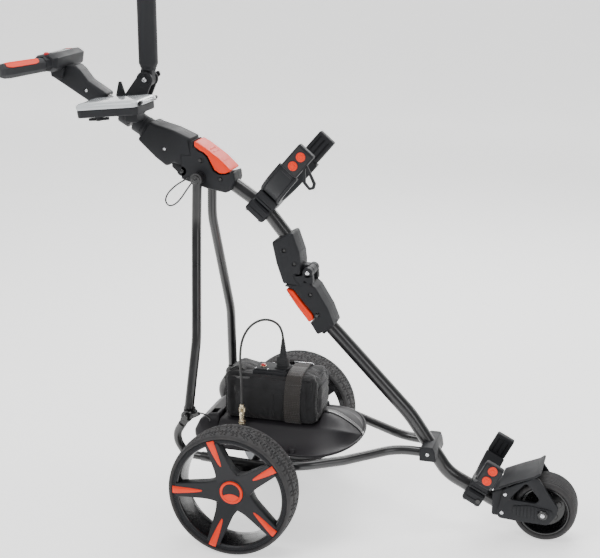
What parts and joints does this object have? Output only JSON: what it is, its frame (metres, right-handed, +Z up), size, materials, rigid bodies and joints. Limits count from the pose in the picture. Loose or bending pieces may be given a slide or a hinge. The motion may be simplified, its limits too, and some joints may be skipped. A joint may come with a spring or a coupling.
{
  "type": "electric golf trolley",
  "caption": "Battery-driven three-wheel golf trolley with folding spine, side struts, bag cradles, battery bag, umbrella and scorecard holders.",
  "frame": {"origin": "middle of the overall length and width, at floor level", "axes": "+X forward to the front wheel, +Y to the trolley's left, +Z up"},
  "size_m": [1.3131, 0.598, 1.226],
  "materials": {
    "frame_tube": "gloss black powder coat",
    "housing": "satin charcoal glass-filled nylon",
    "trim_black": "gloss black",
    "accent_orange": "gloss orange-red",
    "tyre": "moulded tread",
    "wheel_plastic": "moulded black, semi-gloss",
    "steel": "ground",
    "screw_steel": "bright zinc",
    "bearing": "sintered bronze",
    "gear": "natural acetal",
    "alloy": "die cast",
    "motor": "black e-coat",
    "grip": "soft-touch",
    "fabric": "black coated polyester",
    "webbing": "woven black webbing",
    "clear": "clear moulded",
    "button": "red",
    "cable": "black sheath",
    "nickel": "nickel plated",
    "pad": "black rubber",
    "cell_case": "black case"
  },
  "bodies": {
    "chassis": {"chassis_rails": "frame_tube", "axle_frame": "frame_tube", "strut_arms": "frame_tube", "axle_bearings": "bearing", "gearbox_case": "alloy", "drive_motor": "motor", "controller_cover": "housing", "speed_controller": "alloy", "battery_tray": "housing", "battery": "cell_case", "battery_bag": "fabric", "battery_strap": "webbing", "terminal_block": "trim_black", "battery_plug": "trim_black", "lead_connector": "nickel", "power_lead": "cable", "lower_control_cable": "cable", "lower_spine": "frame_tube", "lower_joint_shell": "housing", "lower_bag_bracket": "housing", "lower_bag_pads": "pad", "lower_pad_discs": "accent_orange", "bag_base_rest": "housing", "front_fork": "housing", "chassis_fasteners": "screw_steel", "strut_clamp_knobs": "trim_black"},
    "drive_shaft": {"drive_axle": "steel", "drive_gear": "gear"},
    "pinion_shaft": {"motor_pinion": "steel"},
    "left_wheel": {"tyre_left": "tyre", "wheel_left": "wheel_plastic", "wheel_trim_left": "accent_orange"},
    "right_wheel": {"tyre_right": "tyre", "wheel_right": "wheel_plastic", "wheel_trim_right": "accent_orange"},
    "front_wheel": {"front_tyre": "tyre", "front_rim": "wheel_plastic"},
    "lower_latch_pad": {"lower_latch": "accent_orange"},
    "upper_frame": {"upper_spine": "frame_tube", "upper_joint_shell": "housing", "fold_housing": "housing", "upper_bag_bracket": "housing", "upper_bag_pads": "pad", "upper_pad_discs": "accent_orange", "upper_control_cable": "cable", "frame_fasteners": "screw_steel"},
    "upper_latch_pad": {"upper_latch": "accent_orange"},
    "left_strut": {"strut_left": "frame_tube"},
    "right_strut": {"strut_right": "frame_tube"},
    "handle": {"handle_housing": "housing", "handle_stem": "frame_tube", "handle_neck": "housing", "console": "housing", "grips": "grip", "grip_inlays": "accent_orange", "accessory_clamps": "housing", "scorecard_tray": "trim_black"},
    "power_switch": {"power_button": "button"},
    "umbrella_holder": {"umbrella_tube": "trim_black"},
    "card_lid": {"scorecard_lid": "clear"}
  },
  "joints": [
    {"name": "drive_spin", "type": "hinge", "parent": "chassis", "child": "drive_shaft", "pos_m": [-0.0793, 0, 0.145], "axis": [0, 1, 0], "continuous": true},
    {"name": "pinion_spin", "type": "hinge", "parent": "chassis", "child": "pinion_shaft", "pos_m": [-0.1217, 0, 0.1874], "axis": [0, 1, 0], "continuous": true},
    {"name": "left_wheel_freewheel", "type": "hinge", "parent": "drive_shaft", "child": "left_wheel", "pos_m": [-0.0793, 0.26, 0.145], "axis": [0, 1, 0], "continuous": true},
    {"name": "right_wheel_freewheel", "type": "hinge", "parent": "drive_shaft", "child": "right_wheel", "pos_m": [-0.0793, -0.26, 0.145], "axis": [0, 1, 0], "continuous": true},
    {"name": "front_wheel_spin", "type": "hinge", "parent": "chassis", "child": "front_wheel", "pos_m": [0.583, 0, 0.0735], "axis": [0, 1, 0], "continuous": true},
    {"name": "frame_fold", "type": "hinge", "parent": "chassis", "child": "upper_frame", "pos_m": [0.0257, 0, 0.591], "axis": [0, 1, 0], "range_deg": [0, 120]},
    {"name": "left_strut_fold", "type": "hinge", "parent": "upper_frame", "child": "left_strut", "pos_m": [-0.2283, 0.05, 0.799], "axis": [0, 1, 0], "range_deg": [-51.34, 0.1]},
    {"name": "right_strut_fold", "type": "hinge", "parent": "upper_frame", "child": "right_strut", "pos_m": [-0.2283, -0.05, 0.799], "axis": [0, 1, 0], "range_deg": [-51.34, 0.1]},
    {"name": "handle_fold", "type": "hinge", "parent": "upper_frame", "child": "handle", "pos_m": [-0.2723, 0, 0.811], "axis": [0, 1, 0], "range_deg": [-95, 0]},
    {"name": "umbrella_tilt", "type": "hinge", "parent": "handle", "child": "umbrella_holder", "pos_m": [-0.3623, 0, 1.014], "axis": [0, 1, 0], "range_deg": [-45, 45]},
    {"name": "card_lid_hinge", "type": "hinge", "parent": "handle", "child": "card_lid", "pos_m": [-0.32379, -0.092, 0.98094], "axis": [0, 1, 0], "range_deg": [0, 100]},
    {"name": "power_button_press", "type": "slide", "parent": "handle", "child": "power_switch", "axis": [0, 0, -1], "range_m": [0, 0.002], "stiffness_N_per_m": 400, "springref_m": -0.001},
    {"name": "upper_latch_press", "type": "slide", "parent": "upper_frame", "child": "upper_latch_pad", "axis": [-0.595, 0, -0.8037], "range_m": [0, 0.0025], "stiffness_N_per_m": 900, "springref_m": -0.002},
    {"name": "lower_latch_press", "type": "slide", "parent": "chassis", "child": "lower_latch_pad", "axis": [0.801, 0, 0.5987], "range_m": [0, 0.0025], "stiffness_N_per_m": 900, "springref_m": -0.002}
  ],
  "couplings": [
    {"joint": "pinion_spin", "follows": "drive_spin", "ratio": -3},
    {"joint": "left_strut_fold", "follows": "frame_fold", "ratio": -0.427},
    {"joint": "right_strut_fold", "follows": "frame_fold", "ratio": -0.427}
  ]
}
